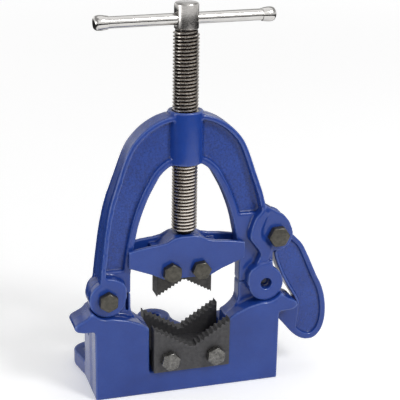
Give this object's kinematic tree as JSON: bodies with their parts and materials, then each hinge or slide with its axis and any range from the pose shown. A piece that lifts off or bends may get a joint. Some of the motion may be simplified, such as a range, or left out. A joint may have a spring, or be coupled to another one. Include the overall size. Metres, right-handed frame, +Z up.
{
  "type": "pipe vise",
  "caption": "Hinged yoke pipe vise: a screw presses a toothed V jaw onto a pipe held in a lower V jaw; a latch hook locks the arch to its cast base.",
  "frame": {"origin": "underside of the base, straight below the screw's axis", "axes": "+Z up along the screw, -Y to the front, where the bolt heads are, +X towards the latch hook"},
  "size_m": [0.2034, 0.1308, 0.2955],
  "materials": {
    "paint": "blue enamel over sand-cast iron, semi-gloss",
    "jaw_steel": "blackened hardened steel, matt",
    "bolt_steel": "dark phosphated steel",
    "screw_steel": "oiled turned steel",
    "handle_steel": "polished bright steel"
  },
  "bodies": {
    "base": {"base": "paint", "lower_jaw": "jaw_steel", "lower_jaw_bolt_left": "bolt_steel", "lower_jaw_nut_left": "bolt_steel", "lower_jaw_bolt_right": "bolt_steel", "lower_jaw_nut_right": "bolt_steel", "pivot_bolt": "bolt_steel", "pivot_nut": "bolt_steel"},
    "yoke": {"yoke": "paint", "hook_bolt": "bolt_steel", "hook_nut": "bolt_steel"},
    "hook": {"hook": "paint"},
    "carrier": {"carrier": "paint", "upper_jaw": "jaw_steel", "upper_jaw_bolt_left": "bolt_steel", "upper_jaw_nut_left": "bolt_steel", "upper_jaw_bolt_right": "bolt_steel", "upper_jaw_nut_right": "bolt_steel"},
    "screw": {"screw": "screw_steel", "screw_ring": "bolt_steel"},
    "handle": {"handle_rod": "handle_steel", "handle_knob_left": "handle_steel", "handle_knob_right": "handle_steel"}
  },
  "joints": [
    {"name": "yoke_swing", "type": "hinge", "parent": "base", "child": "yoke", "pos_m": [-0.062, 0, 0.0801], "axis": [0, -1, 0], "range_deg": [0, 90]},
    {"name": "hook_swing", "type": "hinge", "parent": "yoke", "child": "hook", "pos_m": [0.071, 0, 0.118], "axis": [0, -1, 0], "range_deg": [0, 75]},
    {"name": "carrier_slide", "type": "slide", "parent": "yoke", "child": "carrier", "axis": [0, 0, 1], "range_m": [-0.034, 0.024]},
    {"name": "screw_turn", "type": "hinge", "parent": "carrier", "child": "screw", "pos_m": [0, 0, 0.15], "axis": [0, 0, 1], "range_deg": [-4815, 3398]},
    {"name": "handle_slide", "type": "slide", "parent": "screw", "child": "handle", "axis": [0.9969, 0.0785, 0], "range_m": [-0.049, 0.049]}
  ],
  "couplings": [
    {"joint": "carrier_slide", "follows": "screw_turn", "m_per_rad": 0.00040425}
  ]
}
